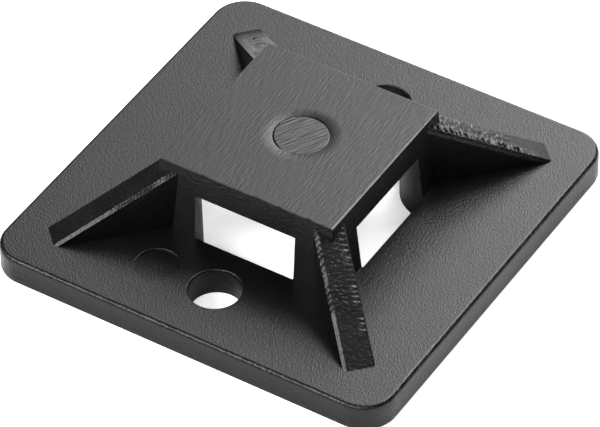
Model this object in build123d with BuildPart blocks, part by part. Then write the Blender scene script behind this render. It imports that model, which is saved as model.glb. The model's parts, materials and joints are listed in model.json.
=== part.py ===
from build123d import *
import os
from math import atan, degrees, radians, sqrt, tan

# Four-way cable tie mount, moulded in one piece. Millimetres, +Z up, origin at the
# centre of the underside. The screw holes lie on the Y axis.

# Base plate
plate_side = 28.0
plate_thickness = 1.9
plate_corner_radius = 2.2
plate_edge_radius = 0.28

# Screw holes, set in from the plate's edges
screw_hole_edge_distance = 4.24
screw_hole_diameter = 3.3
screw_hole_rim_radius = 0.12

# Corner posts, quarter-round inside, and the crossing tie passages between them
flange_width = 7.44
slot_height = 3.12
post_radius = 3.0
sill_clearance = 0.1

# Table that the tie is pulled down around, standing in from the posts' feet
table_inset = 0.415
table_thickness = 1.88
table_draft = 3.6
table_edge_radius = 0.12

# Diagonal ribs that brace the table's corners and end short of the plate's corners
rib_width = 1.95
rib_tip_margin = 3.18
rib_shoulder_drop = 0.42
rib_overlap = 0.3
rib_edge_radius = 0.4

# Ejector pin marks; the one on the plate takes this share of the run from screw hole to rib
plate_mark_share = 0.314
plate_mark_diameter = 2.7
plate_mark_depth = 0.12
plate_mark_rim_radius = 0.07
table_mark_diameter = 3.5
table_mark_depth = 0.04
table_groove_width = 0.14
table_groove_depth = 0.09

# Levels and sizes that follow from the ones above
screw_hole_spacing = plate_side - 2 * screw_hole_edge_distance
plate_mark_y = screw_hole_spacing / 2
plate_mark_reach = plate_mark_diameter / 2 + plate_mark_rim_radius
plate_mark_nearest = screw_hole_diameter / 2 + screw_hole_rim_radius + plate_mark_reach
plate_mark_farthest = plate_mark_y - (rib_width / 2 + plate_mark_reach) * sqrt(2)
plate_mark_x = plate_mark_nearest + plate_mark_share * (plate_mark_farthest - plate_mark_nearest)
post_foot_side = plate_side - 2 * flange_width
passage_side = post_foot_side + 2 * sill_clearance
table_side = post_foot_side - 2 * table_inset
table_underside = plate_thickness + slot_height
table_top = table_underside + table_thickness
table_underside_side = table_side + 2 * table_thickness * tan(radians(table_draft))
post_draft = degrees(atan((post_foot_side - table_underside_side) / 2 / slot_height))
plate_corner_reach = plate_side / sqrt(2) - plate_corner_radius * (sqrt(2) - 1)
rib_tip_reach = plate_corner_reach - rib_tip_margin
rib_shoulder_reach = (table_side * sqrt(2) - rib_width) / 2
rib_shoulder_level = table_top - rib_shoulder_drop
rib_root_reach = rib_shoulder_reach - rib_overlap
rib_run_per_drop = (rib_tip_reach - rib_shoulder_reach) / (rib_shoulder_level - plate_thickness)
rib_foot_level = plate_thickness / 2
rib_foot_reach = rib_tip_reach + rib_run_per_drop * (plate_thickness - rib_foot_level)

os.makedirs("parts", exist_ok=True)

# One rib along +X: a wedge that leaves the table's corner, runs out on the plate and on inside it
with BuildPart() as rib:
    with BuildSketch(Plane.XZ):
        with BuildLine():
            Polyline(
                (rib_root_reach, 0),
                (rib_root_reach, rib_shoulder_level),
                (rib_shoulder_reach, rib_shoulder_level),
                (rib_foot_reach, rib_foot_level),
                (rib_foot_reach, 0),
                close=True,
            )
        make_face()
    extrude(amount=rib_width / 2, both=True)
    rib_crest = rib.faces().filter_by(lambda face: 0.01 < face.normal_at().Z < 0.99)[0]
    fillet(rib_crest.edges().filter_by(Axis.Y, reverse=True), radius=rib_edge_radius)

with BuildPart() as tie_mount:
    # Plate with rounded corners, two screw holes and softened upper rims
    with BuildSketch():
        RectangleRounded(plate_side, plate_side, plate_corner_radius)
        with GridLocations(0, screw_hole_spacing, 1, 2):
            Circle(screw_hole_diameter / 2, mode=Mode.SUBTRACT)
    extrude(amount=plate_thickness)
    plate_face = tie_mount.faces().sort_by(Axis.Z)[-1]
    hole_rims = plate_face.inner_wires().edges()
    plate_rim = plate_face.outer_wire().edges()
    fillet(hole_rims, radius=screw_hole_rim_radius)
    fillet(plate_rim, radius=plate_edge_radius)

    # Block of the four posts, drafted, solid until the passages are cut
    with BuildSketch(Plane.XY.offset(plate_thickness)):
        Rectangle(post_foot_side, post_foot_side)
    extrude(amount=slot_height, taper=post_draft)

    # Table on the posts, with less draft and a softened upper edge
    with BuildSketch(Plane.XY.offset(table_underside)):
        Rectangle(table_underside_side, table_underside_side)
    extrude(amount=table_thickness, taper=table_draft)
    table_face = tie_mount.faces().sort_by(Axis.Z)[-1]
    fillet(table_face.edges(), radius=table_edge_radius)

    # A rib at each of the four corners, on the plate's diagonals
    with PolarLocations(0, 4, start_angle=45):
        add(rib.part)

    # Tie passages: one upright core through the plate opens all four windows and leaves
    # a quarter-round post at each corner
    with BuildSketch():
        Rectangle(passage_side, passage_side)
        with GridLocations(post_foot_side, post_foot_side, 2, 2):
            Circle(post_radius, mode=Mode.SUBTRACT)
    extrude(amount=table_underside, mode=Mode.SUBTRACT)

    # Ejector mark sunk in the plate, beside the front screw hole
    with BuildSketch(Plane.XY.offset(plate_thickness)):
        with Locations((-plate_mark_x, -plate_mark_y)):
            Circle(plate_mark_diameter / 2)
    extrude(amount=-plate_mark_depth, mode=Mode.SUBTRACT)
    mark_rim = (
        tie_mount.edges()
        .filter_by(GeomType.CIRCLE)
        .filter_by(lambda edge: abs(edge.radius - plate_mark_diameter / 2) < 1e-6)
        .group_by(Axis.Z)[-1]
    )
    fillet(mark_rim, radius=plate_mark_rim_radius)

    # Ejector mark in the middle of the table: a sunk disc inside a fine groove
    with BuildSketch(Plane.XY.offset(table_top)):
        Circle(table_mark_diameter / 2)
    extrude(amount=-table_mark_depth, mode=Mode.SUBTRACT)
    with BuildSketch(Plane.XY.offset(table_top)):
        Circle(table_mark_diameter / 2)
        Circle(table_mark_diameter / 2 - table_groove_width, mode=Mode.SUBTRACT)
    extrude(amount=-table_groove_depth, mode=Mode.SUBTRACT)

tie_mount.part.label = "tie_mount"
export_step(tie_mount.part, "parts/tie_mount.step")
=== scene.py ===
# %% [markdown]
# # A four-way cable tie mount in black nylon
# The real thing is one small moulding: a square plate that is screwed to a panel, a raised table on four
# corner posts, and four sloping ribs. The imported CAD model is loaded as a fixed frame, in metres, so every
# size below goes straight to its place. Its box is kept, because the finished model must stay inside it.

# %% Load the frame
import json
from math import atan2, cos, hypot, pi, radians, sin, sqrt, tan

import bmesh
import bpy
from mathutils import Matrix, Vector, noise


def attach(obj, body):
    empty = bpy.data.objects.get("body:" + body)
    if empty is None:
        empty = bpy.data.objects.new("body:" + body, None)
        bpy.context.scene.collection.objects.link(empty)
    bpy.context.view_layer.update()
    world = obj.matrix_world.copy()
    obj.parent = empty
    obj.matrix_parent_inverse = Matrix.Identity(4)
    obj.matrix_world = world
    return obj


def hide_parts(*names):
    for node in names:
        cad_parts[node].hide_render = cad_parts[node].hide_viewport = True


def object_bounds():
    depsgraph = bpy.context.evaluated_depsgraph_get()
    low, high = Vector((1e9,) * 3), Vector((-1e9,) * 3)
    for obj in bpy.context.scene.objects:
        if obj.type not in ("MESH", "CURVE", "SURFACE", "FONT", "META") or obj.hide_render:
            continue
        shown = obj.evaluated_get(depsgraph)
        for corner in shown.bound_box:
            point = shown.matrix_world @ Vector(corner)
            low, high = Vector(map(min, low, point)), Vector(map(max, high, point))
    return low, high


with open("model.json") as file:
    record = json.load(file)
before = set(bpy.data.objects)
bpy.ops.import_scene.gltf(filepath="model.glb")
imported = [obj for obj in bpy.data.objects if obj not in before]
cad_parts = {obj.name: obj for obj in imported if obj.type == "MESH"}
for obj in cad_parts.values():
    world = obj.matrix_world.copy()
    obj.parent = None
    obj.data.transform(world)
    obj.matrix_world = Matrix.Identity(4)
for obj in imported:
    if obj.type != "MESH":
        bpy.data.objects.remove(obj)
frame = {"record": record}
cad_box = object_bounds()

MM = 0.001
plate_side = cad_box[1][0] - cad_box[0][0]
table_top = cad_box[1][2]
print("CAD box in mm:", [[round(value / MM, 3) for value in corner] for corner in cad_box])

# %% [markdown]
# A few small helpers carry the modelling. named_piece gives a new primitive its name and puts its size and
# place into its mesh, as a CAD part has them. edit opens a piece in edit mode with only the chosen corners,
# edges or faces selected, because every operator acts on all that is selected, and done closes it again.
# carve joins or cuts with a Boolean modifier and applies it, as one would carve a blank with a cutter. Two
# choices are needed again and again: the faces that look up, and everything.

# %% Helpers for modelling
# The least share of a normal along an axis for its face to look that way
FACING = 0.9


def named_piece(name):
    piece = bpy.context.object
    piece.name = piece.data.name = name
    bpy.ops.object.transform_apply(location=True, rotation=True, scale=True)
    return piece


def done():
    bpy.ops.object.mode_set(mode="OBJECT")


def edit(piece, kind, chosen):
    done()
    bpy.ops.object.select_all(action="DESELECT")
    piece.select_set(True)
    bpy.context.view_layer.objects.active = piece
    bpy.ops.object.mode_set(mode="EDIT")
    bpy.ops.mesh.select_mode(type=kind)
    bpy.ops.mesh.select_all(action="DESELECT")
    mesh = bmesh.from_edit_mesh(piece.data)
    elements = {"VERT": mesh.verts, "EDGE": mesh.edges, "FACE": mesh.faces}[kind]
    for element in elements:
        if chosen(element):
            element.select_set(True)
    mesh.select_flush_mode()
    bmesh.update_edit_mesh(piece.data)


def carve(piece, tool, operation):
    cut = piece.modifiers.new(operation.title(), "BOOLEAN")
    cut.operation = operation
    cut.object = tool
    cut.solver = "EXACT"
    bpy.context.view_layer.objects.active = piece
    bpy.ops.object.modifier_apply(modifier=cut.name)
    bpy.data.objects.remove(tool)


def looks_up(face):
    return face.normal.z > FACING


def everything(element):
    return True


bpy.ops.object.select_all(action="DESELECT")

# %% [markdown]
# The plate is a flat square with rounded corners and a softened upper rim. It could be drawn as a curve
# and extruded, but a cube shows the order that a modeller works in: first the upright corner edges are
# bevelled wide, then the upper rim that this leaves is bevelled narrow, and the lower one narrower still.

# %% Base plate
# Places closer than this count as the same
TINY = 0.001 * MM
plate_thickness = 1.9 * MM
plate_corner_radius = 2.2 * MM
plate_edge_radius = 0.28 * MM
plate_foot_radius = 0.12 * MM
corner_segments, edge_segments, foot_segments = 16, 5, 3

bpy.ops.mesh.primitive_cube_add(
    size=1, location=(0, 0, plate_thickness / 2), scale=(plate_side, plate_side, plate_thickness)
)
body = named_piece("moulded_mount")
edit(body, "EDGE", lambda edge: abs(edge.verts[0].co.z - edge.verts[1].co.z) > TINY)
bpy.ops.mesh.bevel(offset=plate_corner_radius, segments=corner_segments, affect="EDGES")
edit(body, "EDGE", lambda edge: all(v.co.z > plate_thickness - TINY for v in edge.verts))
bpy.ops.mesh.bevel(offset=plate_edge_radius, segments=edge_segments, affect="EDGES")
edit(body, "EDGE", lambda edge: all(v.co.z < TINY for v in edge.verts))
bpy.ops.mesh.bevel(offset=plate_foot_radius, segments=foot_segments, affect="EDGES")
done()
print("Plate blank:", len(body.data.polygons), "faces")

# %% [markdown]
# The posts and the table start as one solid block. The mould tapers it so that it comes out: the posts
# lean in more than the table does. Two tapered solids could be joined, but one block has no seam between
# them. It starts inside the plate, and each storey is one extrude of the top face and one scale in plan.

# %% Block of posts and table
flange_width = 7.44 * MM
slot_height = 3.12 * MM
table_inset = 0.415 * MM
table_draft = radians(3.6)
foot_side = plate_side - 2 * flange_width
table_side = foot_side - 2 * table_inset
table_underside = plate_thickness + slot_height
table_thickness = table_top - table_underside
table_underside_side = table_side + 2 * table_thickness * tan(table_draft)
block_foot = plate_thickness / 2


def raise_storey(height, wide_below, wide_above):
    bpy.ops.mesh.extrude_region_move(TRANSFORM_OT_translate={"value": (0, 0, height)})
    ratio = wide_above / wide_below
    bpy.ops.transform.resize(value=(ratio, ratio, 1), center_override=(0, 0, 0))


bpy.ops.mesh.primitive_cube_add(
    size=1,
    location=(0, 0, (block_foot + plate_thickness) / 2),
    scale=(foot_side, foot_side, plate_thickness - block_foot),
)
block = named_piece("post_block")
edit(block, "FACE", looks_up)
raise_storey(slot_height, foot_side, table_underside_side)
raise_storey(table_thickness, table_underside_side, table_side)
print("Block of two storeys, table side in mm", round(table_side / MM, 2))

# %% [markdown]
# The table's upper edges are nearly sharp, but the right-hand one was dragged over as the part left its
# mould: a narrow strip beside it slopes down to a thin lip, and catches the light as a bright line. Two
# bisects mark off the strip and a support loop beside it, without which the shading of the flat top would
# run into the strip. A third marks the lip's depth on the side. Moving the edge out and down then makes
# strip and lip at once, and a narrow bevel takes the sharpness off all upper edges.

# %% Edges of the table
table_edge_radius = 0.05 * MM
table_edge_segments = 4
rolled_strip_width = 0.07 * MM
rolled_strip_tilt = radians(12)
support_loop = 0.012 * MM
lip_depth = 0.2 * MM
lip_reach_front = 0.09 * MM
lip_reach_back = 0.03 * MM
# A face whose normal rises less than this belongs to the sides
STEEP = 0.5


def on_right_edge(vertex):
    return vertex.co.z > table_top - TINY and vertex.co.x > table_side / 2 - TINY


def on_table_rim(edge):
    high = all(v.co.z > table_top - lip_depth / 2 for v in edge.verts)
    return high and any(abs(face.normal.z) < STEEP for face in edge.link_faces)


for line in (rolled_strip_width + support_loop, rolled_strip_width):
    edit(block, "FACE", looks_up)
    bpy.ops.mesh.bisect(plane_co=(table_side / 2 - line, 0, 0), plane_no=(1, 0, 0), threshold=TINY)
edit(block, "FACE", lambda face: face.normal.x > FACING)
bpy.ops.mesh.bisect(plane_co=(0, 0, table_top - lip_depth), plane_no=(0, 0, 1), threshold=TINY)
for end, reach in ((-1, lip_reach_front), (1, lip_reach_back)):
    edit(block, "VERT", lambda v: on_right_edge(v) and v.co.y * end > 0)
    drop = (rolled_strip_width + reach) * tan(rolled_strip_tilt)
    bpy.ops.transform.translate(value=(reach, 0, -drop))
edit(block, "EDGE", on_table_rim)
bpy.ops.mesh.bevel(offset=table_edge_radius, segments=table_edge_segments, affect="EDGES")
done()
print("Rounded block:", len(block.data.polygons), "faces")

# %% [markdown]
# The table's front edge is not clean: tiny chips make it ragged, as where two parts of a mould meet. They
# could be cut one by one, but a noise gives all of them at once. The edge is cut into short lengths, each
# point gets a weight from the noise, and a Displace modifier moves the points inwards by that weight. The
# weights keep the chips on this edge only.

# %% Ragged edges
chip_cuts = 100
chip_run = 0.5 * MM
chip_depth = 0.07 * MM
chip_full = 0.55
chip_seed = 3.7
rim_zone = 2 * table_edge_radius


def smooth_step(low, high, value):
    share = min(1, max(0, (value - low) / (high - low)))
    return share * share * (3 - 2 * share)


def push_by_weight(piece, weight, direction, strength):
    group = piece.vertex_groups.new(name="push")
    for vertex in piece.data.vertices:
        group.add([vertex.index], weight(vertex.co), "REPLACE")
    push = piece.modifiers.new("Push", "DISPLACE")
    push.vertex_group = group.name
    push.direction = direction
    push.mid_level = 0
    push.strength = strength
    bpy.context.view_layer.objects.active = piece
    bpy.ops.object.modifier_apply(modifier=push.name)
    piece.vertex_groups.remove(piece.vertex_groups["push"])


def at_front_rim(place):
    return place.z > table_top - rim_zone and place.y < -table_side / 2 + rim_zone


def along_front(edge):
    first, second = edge.verts
    long = abs(first.co.x - second.co.x) > table_side / 2
    return long and at_front_rim(first.co) and at_front_rim(second.co)


def chip_weight(place):
    if not at_front_rim(place):
        return 0
    chip = noise.noise(Vector((place.x / chip_run, place.z / chip_run, chip_seed)))
    return smooth_step(0, chip_full, chip)


edit(block, "EDGE", along_front)
bpy.ops.mesh.subdivide(number_cuts=chip_cuts)
done()
push_by_weight(block, chip_weight, "Y", chip_depth)
carve(body, block, "UNION")
print("Plate with block:", len(body.data.polygons), "faces")

# %% [markdown]
# One upright core makes both crossing tie passages and the opening in the plate. On the real part it is
# a pin of the mould: square, with its corners hollowed out, so that a quarter-round post is left at each
# corner of the table. Two crossed boxes would leave square posts, so the core's corners are hollowed first.

# %% Tie passages
post_radius = 3.0 * MM
post_vertices = 96
sill_clearance = 0.1 * MM
passage_side = foot_side + 2 * sill_clearance
core_foot = -1 * MM
hollow_height = 4 * table_underside

bpy.ops.mesh.primitive_cube_add(
    size=1,
    location=(0, 0, (table_underside + core_foot) / 2),
    scale=(passage_side, passage_side, table_underside - core_foot),
)
core = named_piece("passage_core")
for side_x in (-1, 1):
    for side_y in (-1, 1):
        bpy.ops.mesh.primitive_cylinder_add(
            vertices=post_vertices,
            radius=post_radius,
            depth=hollow_height,
            location=(side_x * foot_side / 2, side_y * foot_side / 2, table_underside / 2),
        )
        carve(core, named_piece("post_hollow"), "DIFFERENCE")
carve(body, core, "DIFFERENCE")
print("With passages:", len(body.data.polygons), "faces")

# %% [markdown]
# The screw holes and the ejector mark on the plate are round cuts whose upper rims are a little rounded.
# The rims could be bevelled after the cut, but a cutter with the rounding built in is surer. It is a
# cylinder whose top face is extruded and widened in steps along a quarter circle.

# %% Round cuts with a soft rim
screws = next(mount for mount in frame["record"]["mounts"] if mount["kind"] == "bolt_pattern")
hole_radius = screws["dims"]["hole_r_mm"] * MM
hole_y = screws["dims"]["spacing_y_mm"] / 2 * MM
hole_rim_radius = 0.12 * MM
plate_mark_radius = 1.35 * MM
plate_mark_depth = 0.12 * MM
plate_mark_rim_radius = 0.07 * MM
plate_mark_x = 4.19 * MM
cutter_vertices = 72
rim_steps = 5
cutter_spare = 1 * MM


def soft_round_cutter(x, y, floor, radius, rim_radius):
    rim_foot = plate_thickness - rim_radius
    bpy.ops.mesh.primitive_cylinder_add(
        vertices=cutter_vertices,
        radius=radius,
        depth=rim_foot - floor,
        location=(x, y, (rim_foot + floor) / 2),
    )
    cutter = named_piece("round_cutter")
    edit(cutter, "FACE", looks_up)
    wide = radius
    risen = 0
    for step in range(1, rim_steps + 1):
        angle = step / rim_steps * pi / 2
        rise = rim_radius * sin(angle) - risen
        wider = radius + rim_radius * (1 - cos(angle))
        bpy.ops.mesh.extrude_region_move(TRANSFORM_OT_translate={"value": (0, 0, rise)})
        bpy.ops.transform.resize(value=(wider / wide, wider / wide, 1), center_override=(x, y, 0))
        wide = wider
        risen += rise
    bpy.ops.mesh.extrude_region_move(TRANSFORM_OT_translate={"value": (0, 0, cutter_spare)})
    done()
    return cutter


for side in (-1, 1):
    carve(body, soft_round_cutter(0, side * hole_y, core_foot, hole_radius, hole_rim_radius), "DIFFERENCE")
mark_floor = plate_thickness - plate_mark_depth
mark = soft_round_cutter(-plate_mark_x, -hole_y, mark_floor, plate_mark_radius, plate_mark_rim_radius)
carve(body, mark, "DIFFERENCE")
print("With holes and mark:", len(body.data.polygons), "faces")

# %% [markdown]
# On the table another ejector pin has left a disc inside a fine groove, a little off the middle and not
# quite level, and the skin around it has sunk as the plastic cooled: that soft dish is what lights one side
# of the ring and shades the other. A painted ring would stay the same as the light moves, so all of it is
# cut. The cutter is a cylinder. Its lower face is inset, pushed back up and tilted, so that its rim cuts
# the groove. Its upper face is extruded outwards in steps that rise along the dish, a parabola that goes on
# for one step above the table.

# %% Ejector mark on the table
table_mark_x, table_mark_y = 0.11 * MM, 0.02 * MM
table_mark_radius = 1.77 * MM
table_mark_depth = 0.06 * MM
table_mark_vertices = 96
disc_tilt = radians(-2)
table_groove_width = 0.11 * MM
table_groove_depth = 0.16 * MM
dish_depth = 0.06 * MM
dish_width = 0.75 * MM
dish_steps = 7

bpy.ops.mesh.primitive_cylinder_add(
    vertices=table_mark_vertices,
    radius=table_mark_radius,
    depth=table_groove_depth - dish_depth,
    location=(table_mark_x, table_mark_y, table_top - (table_groove_depth + dish_depth) / 2),
)
mark = named_piece("table_mark_cutter")
edit(mark, "FACE", lambda face: face.normal.z < -FACING)
bpy.ops.mesh.inset(thickness=table_groove_width, depth=0)
bpy.ops.transform.translate(value=(0, 0, table_groove_depth - table_mark_depth))
bpy.ops.transform.rotate(
    value=disc_tilt,
    orient_axis="Y",
    center_override=(table_mark_x, table_mark_y, table_top - table_mark_depth),
)
edit(mark, "FACE", looks_up)
wide = table_mark_radius
sunk = dish_depth
for step in range(1, dish_steps + 2):
    share = step / dish_steps
    wider = table_mark_radius + dish_width * share
    less_sunk = dish_depth * (1 - share) * abs(1 - share)
    bpy.ops.mesh.extrude_region_move(TRANSFORM_OT_translate={"value": (0, 0, sunk - less_sunk)})
    bpy.ops.transform.resize(
        value=(wider / wide, wider / wide, 1), center_override=(table_mark_x, table_mark_y, 0)
    )
    wide = wider
    sunk = less_sunk
bpy.ops.mesh.extrude_region_move(TRANSFORM_OT_translate={"value": (0, 0, cutter_spare)})
done()
carve(body, mark, "DIFFERENCE")
print("With table mark:", len(body.data.polygons), "faces")

# %% [markdown]
# A rib is a sloping bar that leaves the table's corner and runs out on the plate. One edge of its crest has
# a narrow rounded bevel, the other a wide flat one that gets narrower towards the tip. The bar is a cube,
# modelled level with its crest at height zero, where it is easy to measure, and it is tilted later. The
# bevel operator makes the narrow bevel. It can't make one that tapers, so a tilted bisect slices the wide
# one off.

# %% One plain rib
rib_width = 1.95 * MM
wide_bevel = 0.27 * MM
wide_bevel_taper = 0.08 * MM
wide_bevel_tilt = radians(30)
narrow_bevel = 0.14 * MM
narrow_bevel_segments = 8
narrow_bevel_profile = 0.3
rib_shoulder_drop = 0.42 * MM
rib_tip_margin = 3.18 * MM
rib_bar_depth = 7 * MM
rib_spare = 1 * MM
shoulder_reach = (table_side * sqrt(2) - rib_width) / 2
shoulder_level = table_top - rib_shoulder_drop
tip_reach = plate_side / sqrt(2) - plate_corner_radius * (sqrt(2) - 1) - rib_tip_margin
rib_drop = shoulder_level - plate_thickness
rib_slope = atan2(rib_drop, tip_reach - shoulder_reach)
crest_length = hypot(rib_drop, tip_reach - shoulder_reach)

bpy.ops.mesh.primitive_cube_add(
    size=1,
    location=(crest_length / 2, 0, -rib_bar_depth / 2),
    scale=(crest_length + 2 * rib_spare, rib_width, rib_bar_depth),
)
rib = named_piece("rib")
edit(rib, "EDGE", lambda edge: all(v.co.z > -TINY and v.co.y < 0 for v in edge.verts))
bpy.ops.mesh.bevel(
    offset=narrow_bevel, segments=narrow_bevel_segments, profile=narrow_bevel_profile, affect="EDGES"
)
edit(rib, "FACE", everything)
bevel_edge = Vector((crest_length, wide_bevel_taper, 0))
bevel_fall = Vector((0, cos(wide_bevel_tilt), -sin(wide_bevel_tilt)))
bpy.ops.mesh.bisect(
    plane_co=(0, rib_width / 2 - wide_bevel, 0),
    plane_no=bevel_edge.cross(bevel_fall).normalized(),
    clear_outer=True,
    use_fill=True,
    threshold=TINY,
)
done()
print("Plain rib:", len(rib.data.polygons), "faces, slope in degrees", round(rib_slope * 180 / pi, 1))

# %% [markdown]
# The ridges to come need points that can move. Subdividing the edges across the crest and the wide bevel,
# and then those along the bar, gives a fine grid where it is wanted, while a Subdivision Surface would
# divide the whole bar. A bisect a little below the crest gives the ridges a foot to end on, so that the
# sides below it stay flat. One subdivide makes 100 cuts at most, so a second one halves each length.

# %% Fine grid on the crest
crest_cuts, wide_bevel_cuts = 23, 7
length_cuts = (100, 1)
wide_bevel_floor = -0.3 * MM
grid_floor = -0.4 * MM


def along_bar(edge):
    return abs(edge.verts[0].co.x - edge.verts[1].co.x) > TINY


def across_crest(edge):
    return all(v.co.z > -TINY for v in edge.verts) and not along_bar(edge)


def across_wide_bevel(edge):
    low, high = sorted(edge.verts, key=lambda v: v.co.z)
    return high.co.z > -TINY and wide_bevel_floor < low.co.z < -TINY and low.co.y > 0


for crossing, cuts in ((across_crest, crest_cuts), (across_wide_bevel, wide_bevel_cuts)):
    edit(rib, "EDGE", crossing)
    bpy.ops.mesh.subdivide(number_cuts=cuts)
edit(rib, "FACE", everything)
bpy.ops.mesh.bisect(plane_co=(0, 0, grid_floor), plane_no=(0, 0, 1), threshold=TINY)
for cuts in length_cuts:
    edit(rib, "EDGE", along_bar)
    bpy.ops.mesh.subdivide(number_cuts=cuts)
done()
print("Rib with its grid:", len(rib.data.polygons), "faces")

# %% [markdown]
# The ribs' crests were left rough by the cutter that made the mould: fine ridges cross them, as on a file,
# strongest near the table and fading towards the tip, with a faint mottling between them. A bump in the
# material would be quicker, but it doesn't change the outline, so the ridges are real shape. How far each
# point of the grid rises is a weight between 0 and 1, worked out from its place: how far it is down the
# crest, how far out from the crest's middle line, and how far over the edge on the bevel. Slow noises along
# the rib make the ridges wander, come in patches and end at no fixed line.

# %% How high a ridge is at each point
# Lengths of the noises along the crest, and the share of the fine one in the wandering
wander_run, jitter_run, patch_run = 1.3 * MM, 0.3 * MM, 0.7 * MM
jitter_share = 0.35
patch_mean, patch_swing = 0.75, 0.9
# How far a ridge lags, in pitches, at the crest's edge, at the bevel's foot and by the wandering
lag_out, lag_over, lag_wander = 0.5, 0.4, 0.6
ridge_sharpness = 1.5
height_at_table, height_lost_at_tip = 1.3, 0.6
# Where ridges begin and end, as shares of the way out and of the way over the edge
flat_begins, flat_ends = (0.25, 0.8), (0.1, 0.7)
strip_begins, strip_ends = (0.0, 0.35), (0.65, 1.0)
ridge_fade, ridge_fade_wander = 0.8, 0.08
# The mottling: size and lean of its specks, its strength among the ridges, and where it ends
speck_length, speck_width, speck_lean = 0.13 * MM, 0.3 * MM, 0.4
speck_mean, speck_among_ridges = 0.5, 0.6
mottle_ends = (0.0, 0.4)
mottle_fade, mottle_fade_wander = 0.7, 0.15
# Rows of the noise, set apart so that no two patterns are alike
noise_row, wide_edge_row, jitter_row, speck_row, patch_row = 0.5, 0.1, 1, 3, 7


def noise_along(place, run, row):
    return noise.noise(Vector((place.x / run, noise_row, row)))


def ridge_weight(pitch, sides, mottling, seed):
    mottle_share, mottle_reach = mottling

    def weight(place):
        wide = place.y > 0
        strip, teeth, reach = sides["wide" if wide else "narrow"]
        down = place.x / crest_length
        bevel = wide_bevel - wide_bevel_taper * down if wide else narrow_bevel
        drop = bevel * tan(wide_bevel_tilt) if wide else narrow_bevel
        if place.z < -drop - TINY:
            return 0
        out = abs(place.y) / (rib_width / 2 - bevel)
        over = -place.z / drop
        row = seed + wide_edge_row * wide
        stray = noise_along(place, wander_run, row)
        stray += jitter_share * noise_along(place, jitter_run, row + jitter_row)
        patch = patch_mean + patch_swing * noise_along(place, patch_run, row + patch_row)

        turns = place.x / pitch - lag_out * out - lag_over * over + lag_wander * stray
        bead = (0.5 + 0.5 * cos(2 * pi * turns)) ** ridge_sharpness
        fade = 1 - smooth_step(ridge_fade * reach, reach, down + ridge_fade_wander * stray)
        on_flat = smooth_step(*flat_begins, out) * (1 - smooth_step(*flat_ends, over))
        on_strip = smooth_step(*strip_begins, over) * (1 - smooth_step(*strip_ends, over))
        height = fade * (height_at_table - height_lost_at_tip * down)
        ridge = height * patch * bead * (teeth * on_flat + strip * on_strip)

        speck_place = (place.x + speck_lean * place.y) / speck_length, place.y / speck_width, seed + speck_row
        speck = speck_mean + noise.noise(Vector(speck_place))
        mottle_end = smooth_step(mottle_fade * mottle_reach, mottle_reach, down + mottle_fade_wander * stray)
        mottle = mottle_share * (1 - mottle_end) * (1 - speck_among_ridges * on_flat)
        mottle *= 1 - smooth_step(*mottle_ends, over)
        return min(1, max(0, ridge + mottle * speck))

    return weight


print("Points to weigh on one rib:", len(rib.data.vertices))

# %% [markdown]
# Each rib has its own pattern, so each copy of the plain rib gets its own weights, and a Displace modifier
# raises them along the normals. The copy is then tilted, turned to its corner and trimmed by two bisects,
# level inside the plate and upright inside the block, so that the join has no faces that touch. The front
# rib is mirrored, which turns its faces inside out, so its normals are flipped back.

# %% Ribs at the four corners
rib_overlap = 0.3 * MM
first_corner, next_corner = 45, 90
seed_step = 11
# For each rib: 1 as modelled or -1 mirrored, the ridges' height and pitch in mm; then for its wide and its
# narrow edge the ridges' share on the bevel, their share on the flat beside it and their reach down the
# crest; and last the share and the reach of the mottling between them
ridges = {
    "right": (1, 0.20, 0.40, {"wide": (0.0, 0.2, 0.5), "narrow": (0.0, 1.0, 1.0)}, (0.3, 0.8)),
    "back": (1, 0.06, 0.40, {"wide": (0.0, 0.4, 0.4), "narrow": (0.0, 0.4, 0.4)}, (0.9, 1.0)),
    "left": (1, 0.09, 0.24, {"wide": (0.8, 0.1, 0.6), "narrow": (0.0, 0.0, 0.1)}, (0.1, 0.3)),
    "front": (-1, 0.09, 0.36, {"wide": (1.0, 0.25, 0.68), "narrow": (0.0, 0.7, 0.9)}, (0.35, 0.75)),
}

tilt = Matrix.Translation((shoulder_reach, 0, shoulder_level)) @ Matrix.Rotation(rib_slope, 4, "Y")
for corner, (name, (hand, height, pitch, sides, mottling)) in enumerate(ridges.items()):
    copy = bpy.data.objects.new(f"rib_{name}", rib.data.copy())
    bpy.context.collection.objects.link(copy)
    weight = ridge_weight(pitch * MM, sides, mottling, seed_step * corner)
    push_by_weight(copy, weight, "NORMAL", height * MM)
    turn = Matrix.Rotation(radians(first_corner + next_corner * corner), 4, "Z")
    copy.data.transform(turn @ tilt @ Matrix.Diagonal((1, hand, 1, 1)))
    if hand < 0:
        copy.data.flip_normals()
    outward = turn.to_3x3() @ Vector((1, 0, 0))
    inside_plate = Vector((0, 0, plate_thickness / 2))
    inside_block = outward * (shoulder_reach - rib_overlap)
    for cut_at, kept_side in ((inside_plate, Vector((0, 0, 1))), (inside_block, outward)):
        edit(copy, "VERT", everything)
        bpy.ops.mesh.bisect(
            plane_co=cut_at, plane_no=kept_side, clear_inner=True, use_fill=True, threshold=TINY
        )
    done()
    carve(body, copy, "UNION")
bpy.data.objects.remove(rib)
print("With ribs:", len(body.data.polygons), "faces")

# %% [markdown]
# The joins leave points that lie almost on top of each other, and all faces are still shaded flat. Merging
# the doubles closes the mesh. Shading by angle smooths the roundings and keeps real edges crisp, and a
# Weighted Normal modifier lets the large flat faces rule, so that they don't seem to bend towards their
# bevels. A moulding is one closed skin, so the open edges are counted and should be none.

# %% One closed skin
merge_gap = 0.0005 * MM
crisp_angle = radians(35)

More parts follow.
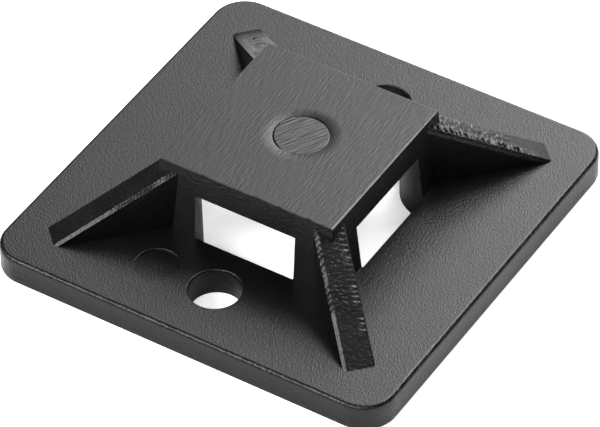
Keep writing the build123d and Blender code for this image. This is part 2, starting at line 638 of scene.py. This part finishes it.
edit(body, "VERT", everything)
bpy.ops.mesh.remove_doubles(threshold=merge_gap)
done()
bpy.ops.object.shade_smooth_by_angle(angle=crisp_angle)
even = body.modifiers.new("Even shading", "WEIGHTED_NORMAL")
even.keep_sharp = True
bpy.ops.object.modifier_apply(modifier=even.name)
skin = bmesh.new()
skin.from_mesh(body.data)
print("Open edges:", sum(not edge.is_manifold for edge in skin.edges))
print("Volume in mm3:", round(skin.calc_volume() / MM**3, 1))
print("Triangles:", sum(len(face.verts) - 2 for face in skin.faces))
skin.free()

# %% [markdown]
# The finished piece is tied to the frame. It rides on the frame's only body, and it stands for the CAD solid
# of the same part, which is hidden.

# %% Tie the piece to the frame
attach(body, "root")
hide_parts("tie_mount")
print(body.name, "stands for tie_mount")

# %% [markdown]
# Every finish needs the same small tools. Colours are written as sRGB hex values and turned to linear light,
# which is what the shader mixes. One function adds a node, sets its options, sets or links its inputs, and
# links its outputs on.

# %% Helpers for materials
def linear(hex_colour):
    channels = [int(hex_colour[i:i + 2], 16) / 255 for i in (1, 3, 5)]
    return [c / 12.92 if c <= 0.04045 else ((c + 0.055) / 1.055) ** 2.4 for c in channels] + [1]


def add_node(material, kind, settings, inputs, outputs={}):
    node = material.node_tree.nodes.new(kind)
    for name, value in settings.items():
        setattr(node, name, value)
    for name, value in inputs.items():
        if isinstance(value, bpy.types.NodeSocket):
            material.node_tree.links.new(value, node.inputs[name])
        else:
            node.inputs[name].default_value = value
    for name, socket in outputs.items():
        material.node_tree.links.new(node.outputs[name], socket)
    return node


def per_mm(size):
    return 1 / (size * MM)


print("Middle grey in linear light:", round(linear("#808080")[0], 3))

# %% [markdown]
# The mount is moulded in nylon that is black all through, so all its finishes share one base: a nearly black
# colour and a satin gloss that both drift a little over a couple of millimetres, as the melt's flow leaves
# them. Black plastic looks grey in a picture only by what it mirrors, so the colour stays very dark and the
# light does the rest. A paler colour would be easier to light, but its shadows would never be black. What
# sets the finishes apart is their relief.

# %% Base of black nylon
# The IOR is typical of nylon. The specular level is lower than the default of 0.5, because the fine grain
# of a moulded skin scatters part of the gloss.
nylon_ior = 1.53
nylon_specular = 0.28
nylon_dark, nylon_light = "#060606", "#0a0a0a"
cloud_size_mm = 2.2
cloud_low, cloud_high = 0.3, 0.7


def black_nylon(name, roughness, spread):
    material = bpy.data.materials.new(name)
    material.use_nodes = True
    shader = material.node_tree.nodes["Principled BSDF"]
    shader.inputs["IOR"].default_value = nylon_ior
    shader.inputs["Specular IOR Level"].default_value = nylon_specular
    place = add_node(material, "ShaderNodeTexCoord", {}, {}).outputs["Object"]
    cloud = add_node(
        material, "ShaderNodeTexNoise", {}, {"Vector": place, "Scale": per_mm(cloud_size_mm), "Detail": 3.0}
    )
    add_node(
        material,
        "ShaderNodeMix",
        {"data_type": "RGBA"},
        {0: cloud.outputs["Fac"], 6: linear(nylon_dark), 7: linear(nylon_light)},
        {2: shader.inputs["Base Color"]},
    )
    add_node(
        material,
        "ShaderNodeMapRange",
        {},
        {
            "Value": cloud.outputs["Fac"],
            "From Min": cloud_low,
            "From Max": cloud_high,
            "To Min": roughness - spread,
            "To Max": roughness + spread,
        },
        {"Result": shader.inputs["Roughness"]},
    )
    return material, shader, place


print("Black nylon, darkest in linear light:", round(linear(nylon_dark)[0], 4))

# %% [markdown]
# The plate's top was eroded by sparks in the mould, which gives a fine leathery grain. It could be modelled
# as shape, but at a tenth of a millimetre that would take millions of faces, so it is a bump from a noise.
# A Mapping node stretches the noise a little and turns it, because the grains lie along one direction.

# %% Spark-eroded nylon
# Spark-eroded nylon gives the eye a dull, even grey with a soft sparkle. A real grain of this kind is near
# 0.05 mm, too fine to show here, so it is drawn two to four times as coarse.
satin, moulded_drift = 0.33, 0.03
grain_size = (0.12 * MM, 0.18 * MM, 0.12 * MM)
grain_turn = radians(33)
grain_depth = 0.017 * MM

eroded, shader, place = black_nylon("moulded_nylon_spark_eroded", satin, moulded_drift)
drawn_out = add_node(
    eroded,
    "ShaderNodeMapping",
    {"vector_type": "TEXTURE"},
    {"Vector": place, "Rotation": (0, 0, grain_turn), "Scale": grain_size},
)
grains = add_node(
    eroded,
    "ShaderNodeTexNoise",
    {},
    {"Vector": drawn_out.outputs["Vector"], "Scale": 1.0, "Detail": 2.0, "Roughness": 0.6},
)
add_node(
    eroded,
    "ShaderNodeBump",
    {},
    {"Height": grains.outputs["Fac"], "Strength": 1.0, "Distance": grain_depth},
    {"Normal": shader.inputs["Normal"]},
)
print("Finish:", eroded.name, "with", len(eroded.node_tree.nodes), "nodes")

# %% [markdown]
# The sides, posts and ribs come from plain milled faces of the mould. They are smoother, with a slight
# ripple that breaks up what they mirror. One noise in the bump is enough for it.

# %% Plain moulded nylon
# Plain moulded nylon gives the eye soft, slightly wavy reflections of the paper and the lights.
ripple_size_mm = 0.25
ripple_depth = 0.045 * MM

plain, shader, place = black_nylon("moulded_nylon_plain", satin, moulded_drift)
ripple = add_node(
    plain,
    "ShaderNodeTexNoise",
    {},
    {"Vector": place, "Scale": per_mm(ripple_size_mm), "Detail": 2.0, "Roughness": 0.6},
)
add_node(
    plain,
    "ShaderNodeBump",
    {},
    {"Height": ripple.outputs["Fac"], "Strength": 1.0, "Distance": ripple_depth},
    {"Normal": shader.inputs["Normal"]},
)
print("Finish:", plain.name, "with", len(plain.node_tree.nodes), "nodes")

# %% [markdown]
# The mould's face over the table was brushed in one direction, and the end of the ejector pin was ground in
# another. Both patterns are noises drawn out by a Mapping node: long streaks along Y for the table, deeper
# furrows across the disc. A node that measures the distance from the disc's centre chooses between them,
# so that one material does for the whole table top.

# %% Streaks of the brush and furrows of the pin
# Brushed nylon gives the eye fine parallel streaks that glint where the light comes from behind.
brushed_drift = 0.02
streak_size_mm = (0.14, 1.0, 1.0)
furrow_size = (1.5 * MM, 0.15 * MM, 1 * MM)
furrow_turn = radians(59)
furrow_strength = 3.0

brushed, shader, place = black_nylon("moulded_nylon_brushed", satin, brushed_drift)
along_y = add_node(
    brushed,
    "ShaderNodeMapping",
    {},
    {"Vector": place, "Scale": [per_mm(size) for size in streak_size_mm]},
)
streaks = add_node(
    brushed,
    "ShaderNodeTexNoise",
    {},
    {"Vector": along_y.outputs["Vector"], "Scale": 1.0, "Detail": 2.0, "Roughness": 0.6},
)
across_disc = add_node(
    brushed,
    "ShaderNodeMapping",
    {"vector_type": "TEXTURE"},
    {"Vector": place, "Rotation": (0, 0, furrow_turn), "Scale": furrow_size},
)
furrows = add_node(
    brushed,
    "ShaderNodeTexNoise",
    {},
    {"Vector": across_disc.outputs["Vector"], "Scale": 1.0, "Detail": 1.0, "Roughness": 0.5},
)
deep_furrows = add_node(
    brushed, "ShaderNodeMath", {"operation": "MULTIPLY"}, {0: furrows.outputs["Fac"], 1: furrow_strength}
)
print("Streaks and furrows:", len(brushed.node_tree.nodes), "nodes")

# %% [markdown]
# Distance is measured in plan only, so the height is multiplied away first. Inside the groove the furrows
# count, outside it the streaks do, and the chosen one goes on to the bump.

# %% Brushed nylon
brush_depth = 0.018 * MM
disc_radius = table_mark_radius - table_groove_width

in_plan = add_node(brushed, "ShaderNodeVectorMath", {"operation": "MULTIPLY"}, {0: place, 1: (1, 1, 0)})
from_centre = add_node(
    brushed,
    "ShaderNodeVectorMath",
    {"operation": "DISTANCE"},
    {0: in_plan.outputs["Vector"], 1: (table_mark_x, table_mark_y, 0)},
)
on_disc = add_node(
    brushed, "ShaderNodeMath", {"operation": "LESS_THAN"}, {0: from_centre.outputs["Value"], 1: disc_radius}
)
marks = add_node(
    brushed,
    "ShaderNodeMix",
    {"data_type": "FLOAT"},
    {0: on_disc.outputs["Value"], 2: streaks.outputs["Fac"], 3: deep_furrows.outputs["Value"]},
)
add_node(
    brushed,
    "ShaderNodeBump",
    {},
    {"Height": marks.outputs[0], "Strength": 1.0, "Distance": brush_depth},
    {"Normal": shader.inputs["Normal"]},
)
print("Finish:", brushed.name, "with", len(brushed.node_tree.nodes), "nodes")

# %% [markdown]
# The three finishes go on one mesh, as they do on the real moulding. The mesh could be split in three, but a
# material slot for each finish keeps it whole. The plain one is the first slot, which every face starts
# with. The faces of the plate's top and of the table's top are then selected by their normal and height and
# given theirs.

# %% Finishes on their faces
flat_on_plate, flat_on_table = 0.95, 0.85
top_layer = 0.2 * MM

body.data.materials.clear()
for material in (plain, eroded, brushed):
    body.data.materials.append(material)


def on_plate_top(face):
    level = face.calc_center_median().z
    return face.normal.z > flat_on_plate and plate_thickness - top_layer < level < plate_thickness + TINY


def on_table_top(face):
    return face.normal.z > flat_on_table and face.calc_center_median().z > table_top - top_layer


for index, chosen in ((1, on_plate_top), (2, on_table_top)):
    edit(body, "FACE", chosen)
    body.active_material_index = index
    bpy.ops.object.material_slot_assign()
    done()
print("Faces of each finish:", [sum(p.material_index == i for p in body.data.polygons) for i in range(3)])

# %% [markdown]
# The part lies on plain white paper, and a picture of such a part is exposed until the paper is pure white,
# also in the windows, where the table shades it. More light would do that, but it would brighten the part as
# well. So the paper glows a little for rays that come straight from the camera, from any side, and that glow
# throws no light on the part. The floor lies a hair below the part, so that no two faces coincide.

# %% Floor
floor_side = 2
floor_gap = 0.02 * MM
paper_glow = 0.5

bpy.ops.object.select_all(action="DESELECT")
bpy.ops.mesh.primitive_plane_add(size=floor_side, location=(0, 0, -floor_gap))
floor = bpy.context.object
floor.name = "floor"
# Uncoated paper gives the eye an even white with no gloss
paper = bpy.data.materials.new("paper")
paper.use_nodes = True
shader = paper.node_tree.nodes["Principled BSDF"]
shader.inputs["Base Color"].default_value = linear("#f4f4f4")
shader.inputs["Roughness"].default_value = 1
shader.inputs["Specular IOR Level"].default_value = 0
shader.inputs["Emission Color"].default_value = linear("#ffffff")
ray = add_node(paper, "ShaderNodeLightPath", {}, {})
add_node(
    paper,
    "ShaderNodeMath",
    {"operation": "MULTIPLY"},
    {0: ray.outputs["Is Camera Ray"], 1: paper_glow},
    {"Value": shader.inputs["Emission Strength"]},
)
floor.data.materials.append(paper)
print("Floor:", floor_side, "m square,", floor_gap / MM, "mm below the part")

# %% [markdown]
# A black part shows its form by what it mirrors, so the light is a ring of soft panels around it, all in a
# black room. The panels behind the part are the ones that the table and the plate mirror towards the camera.
# Those in front light the paper, which the part's sides mirror, and the high ones draw the bright lines on
# edges and ridges. A single large softbox would be simpler, but then every level face would be equally
# light. Each panel's place is given by its direction from the part, and it faces the part.

# %% Lights
panel_distance = 0.6
# Azimuth and elevation in degrees, width and height in metres, power in watts
panels = {
    "back_panel": (195, 38, (0.16, 0.44), 1.66),
    "back_low_panel": (195, 24, (0.16, 0.16), 0.80),
    "back_high_panel": (186, 53, (0.12, 0.14), 1.00),
    "back_left_panel": (212, 38, (0.15, 0.22), 0.46),
    "back_right_panel": (160, 59, (0.30, 0.16), 2.00),
    "front_left_panel": (320, 41, (0.50, 0.16), 4.08),
    "front_panel": (0, 44, (0.16, 0.30), 1.13),
    "front_right_panel": (30, 40, (0.20, 0.20), 0.84),
    "top_panel": (150, 76, (0.30, 0.30), 0.36),
    "horizon_panel": (180, 10, (0.20, 0.10), 0.18),
}

world = bpy.data.worlds.new("studio")
bpy.context.scene.world = world
world.use_nodes = True
world.node_tree.nodes["Background"].inputs["Color"].default_value = linear("#000000")
for name, (azimuth, elevation, size, watts) in panels.items():
    turned, raised = radians(azimuth), radians(elevation)
    direction = Vector((sin(turned) * cos(raised), -cos(turned) * cos(raised), sin(raised)))
    light = bpy.data.lights.new(name, "AREA")
    light.shape = "RECTANGLE"
    light.size, light.size_y = size
    light.energy = watts
    holder = bpy.data.objects.new(name, light)
    bpy.context.collection.objects.link(holder)
    holder.location = panel_distance * direction
    holder.rotation_euler = direction.to_track_quat("Z", "Y").to_euler()
print("Panels:", len(panels), "with watts in all", round(sum(panel[3] for panel in panels.values()), 2))

# %% [markdown]
# The picture was taken from above the front right, from fairly far off, so that the plate's edges stay
# nearly parallel. The camera's angles, its distance and its focal length in pixels follow from the plate's
# four edges in the picture. The camera looks at the plate's middle, and is then moved a few pixels sideways
# for the picture's framing. The Standard view transform keeps the paper white, which a filmic one would not.

# %% Camera
camera_azimuth = radians(33.46)
camera_elevation = radians(43.30)
camera_roll = radians(-1.73)
camera_distance = 292.06 * MM
focal_pixels = 4722.0
aim_pixels = Vector((-2.09, 2.98, 0))
picture_width = 600
sensor_width = 36

camera = bpy.data.cameras.new("camera")
camera.sensor_width = sensor_width
camera.lens = focal_pixels / picture_width * sensor_width
viewer = bpy.data.objects.new("camera", camera)
bpy.context.collection.objects.link(viewer)
turn = (
    Matrix.Rotation(camera_azimuth, 4, "Z")
    @ Matrix.Rotation(pi / 2 - camera_elevation, 4, "X")
    @ Matrix.Rotation(camera_roll, 4, "Z")
)
aim = aim_pixels * camera_distance / focal_pixels
viewer.matrix_world = turn @ Matrix.Translation(aim + Vector((0, 0, camera_distance)))
bpy.context.scene.camera = viewer
bpy.context.scene.view_settings.view_transform = "Standard"
print("Lens in mm:", round(camera.lens, 1), "at", round(camera_distance / MM), "mm from the part")

# %% [markdown]
# Last, the scene is brought up to date.

# %% Finish
bpy.context.view_layer.update()
